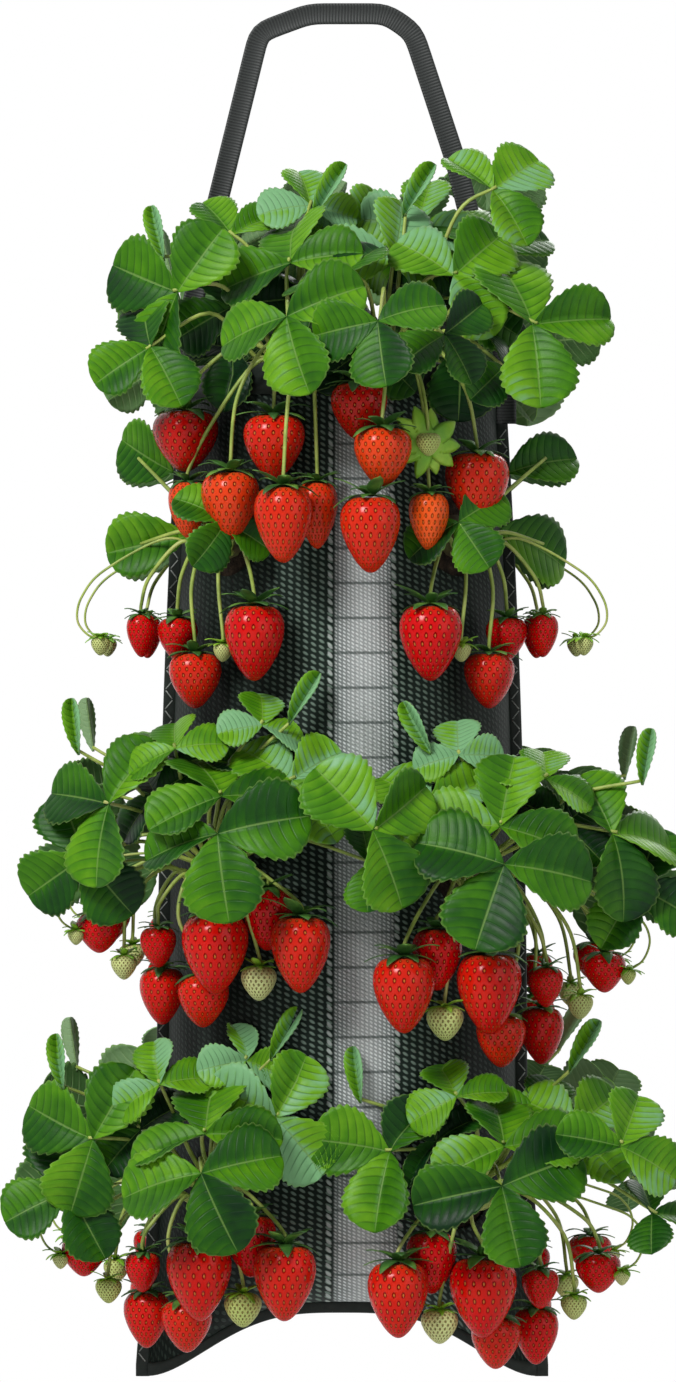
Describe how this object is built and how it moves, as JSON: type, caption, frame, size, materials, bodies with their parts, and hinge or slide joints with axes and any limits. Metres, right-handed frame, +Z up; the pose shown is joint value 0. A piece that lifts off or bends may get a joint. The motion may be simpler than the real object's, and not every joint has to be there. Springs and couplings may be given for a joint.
{
  "type": "hanging planter bag",
  "caption": "Tall hanging grow bag of dark woven fabric on a strap loop, filled with soil, with strawberry plants growing from its mouth and side holes.",
  "frame": {"origin": "under side of the strap loop's top run, where a hook carries it", "axes": "+Z up, +X to the viewer's right, front towards -Y"},
  "size_m": [0.4233, 0.364, 0.8471],
  "materials": {
    "strap": "matte",
    "bag_fabric": "satin",
    "binding": "satin",
    "soil": "matte",
    "leaf": "satin",
    "stalk": "satin",
    "berry": "gloss"
  },
  "bodies": {
    "handle": {"handle_strap": "strap"},
    "bag": {"back_lower_left_leaves": "leaf", "back_lower_right_leaves": "leaf", "back_middle_left_leaves": "leaf", "back_middle_right_leaves": "leaf", "back_panel": "bag_fabric", "back_top_left_leaves": "leaf", "back_top_right_leaves": "leaf", "back_upper_left_leaves": "leaf", "back_upper_right_leaves": "leaf", "bottom_binding": "binding", "front_lower_left_leaves": "leaf", "front_lower_right_leaves": "leaf", "front_middle_left_leaves": "leaf", "front_middle_right_leaves": "leaf", "front_panel": "bag_fabric", "front_top_left_leaves": "leaf", "front_top_right_leaves": "leaf", "front_upper_left_leaves": "leaf", "front_upper_right_leaves": "leaf", "handle_end_left": "strap", "handle_end_right": "strap", "rim_binding": "binding", "side_binding_left": "binding", "side_binding_right": "binding", "soil_core": "soil"},
    "back_lower_left_truss": {"back_lower_left_stalks": "stalk", "back_lower_left_berries": "berry"},
    "back_lower_right_truss": {"back_lower_right_stalks": "stalk", "back_lower_right_berries": "berry"},
    "back_middle_left_truss": {"back_middle_left_stalks": "stalk", "back_middle_left_berries": "berry"},
    "back_middle_right_truss": {"back_middle_right_stalks": "stalk", "back_middle_right_berries": "berry"},
    "back_top_left_truss": {"back_top_left_stalks": "stalk", "back_top_left_berries": "berry"},
    "back_top_right_truss": {"back_top_right_stalks": "stalk", "back_top_right_berries": "berry"},
    "back_upper_left_truss": {"back_upper_left_stalks": "stalk", "back_upper_left_berries": "berry"},
    "back_upper_right_truss": {"back_upper_right_stalks": "stalk", "back_upper_right_berries": "berry"},
    "front_lower_left_truss": {"front_lower_left_stalks": "stalk", "front_lower_left_berries": "berry"},
    "front_lower_right_truss": {"front_lower_right_stalks": "stalk", "front_lower_right_berries": "berry"},
    "front_middle_left_truss": {"front_middle_left_stalks": "stalk", "front_middle_left_berries": "berry"},
    "front_middle_right_truss": {"front_middle_right_stalks": "stalk", "front_middle_right_berries": "berry"},
    "front_top_left_truss": {"front_top_left_stalks": "stalk", "front_top_left_berries": "berry"},
    "front_top_right_truss": {"front_top_right_stalks": "stalk", "front_top_right_berries": "berry"},
    "front_upper_left_truss": {"front_upper_left_stalks": "stalk", "front_upper_left_berries": "berry"},
    "front_upper_right_truss": {"front_upper_right_stalks": "stalk", "front_upper_right_berries": "berry"}
  },
  "joints": [
    {"name": "bag_swing", "type": "hinge", "parent": "handle", "child": "bag", "pos_m": [0, 0, -0.208], "axis": [1, 0, 0], "range_deg": [-15, 15]},
    {"name": "back_lower_left_swing", "type": "hinge", "parent": "bag", "child": "back_lower_left_truss", "pos_m": [-0.08098, 0.06453, -0.725], "axis": [0.6232, 0.7821, 0], "range_deg": [0, 10]},
    {"name": "back_lower_right_swing", "type": "hinge", "parent": "bag", "child": "back_lower_right_truss", "pos_m": [0.08098, 0.06453, -0.725], "axis": [0.6232, -0.7821, 0], "range_deg": [0, 10]},
    {"name": "back_middle_left_swing", "type": "hinge", "parent": "bag", "child": "back_middle_left_truss", "pos_m": [-0.07959, 0.07959, -0.53], "axis": [0.7071, 0.7071, 0], "range_deg": [0, 10]},
    {"name": "back_middle_right_swing", "type": "hinge", "parent": "bag", "child": "back_middle_right_truss", "pos_m": [0.07959, 0.07959, -0.53], "axis": [0.7071, -0.7071, 0], "range_deg": [0, 10]},
    {"name": "back_top_left_swing", "type": "hinge", "parent": "bag", "child": "back_top_left_truss", "pos_m": [-0.027, 0.09108, -0.2097], "axis": [0.9588, 0.2842, 0], "range_deg": [0, 10]},
    {"name": "back_top_right_swing", "type": "hinge", "parent": "bag", "child": "back_top_right_truss", "pos_m": [0.027, 0.09108, -0.2097], "axis": [0.9588, -0.2842, 0], "range_deg": [0, 10]},
    {"name": "back_upper_left_swing", "type": "hinge", "parent": "bag", "child": "back_upper_left_truss", "pos_m": [-0.07472, 0.07472, -0.328], "axis": [0.7071, 0.7071, 0], "range_deg": [0, 10]},
    {"name": "back_upper_right_swing", "type": "hinge", "parent": "bag", "child": "back_upper_right_truss", "pos_m": [0.07472, 0.07472, -0.328], "axis": [0.7071, -0.7071, 0], "range_deg": [0, 10]},
    {"name": "front_lower_left_swing", "type": "hinge", "parent": "bag", "child": "front_lower_left_truss", "pos_m": [-0.08098, -0.06453, -0.725], "axis": [-0.6232, 0.7821, 0], "range_deg": [0, 10]},
    {"name": "front_lower_right_swing", "type": "hinge", "parent": "bag", "child": "front_lower_right_truss", "pos_m": [0.08098, -0.06453, -0.725], "axis": [-0.6232, -0.7821, 0], "range_deg": [0, 10]},
    {"name": "front_middle_left_swing", "type": "hinge", "parent": "bag", "child": "front_middle_left_truss", "pos_m": [-0.07959, -0.07959, -0.53], "axis": [-0.7071, 0.7071, 0], "range_deg": [0, 10]},
    {"name": "front_middle_right_swing", "type": "hinge", "parent": "bag", "child": "front_middle_right_truss", "pos_m": [0.07959, -0.07959, -0.53], "axis": [-0.7071, -0.7071, 0], "range_deg": [0, 10]},
    {"name": "front_top_left_swing", "type": "hinge", "parent": "bag", "child": "front_top_left_truss", "pos_m": [-0.027, -0.09108, -0.2097], "axis": [-0.9588, 0.2842, 0], "range_deg": [0, 10]},
    {"name": "front_top_right_swing", "type": "hinge", "parent": "bag", "child": "front_top_right_truss", "pos_m": [0.027, -0.09108, -0.2097], "axis": [-0.9588, -0.2842, 0], "range_deg": [0, 10]},
    {"name": "front_upper_left_swing", "type": "hinge", "parent": "bag", "child": "front_upper_left_truss", "pos_m": [-0.07472, -0.07472, -0.328], "axis": [-0.7071, 0.7071, 0], "range_deg": [0, 10]},
    {"name": "front_upper_right_swing", "type": "hinge", "parent": "bag", "child": "front_upper_right_truss", "pos_m": [0.07472, -0.07472, -0.328], "axis": [-0.7071, -0.7071, 0], "range_deg": [0, 10]}
  ]
}
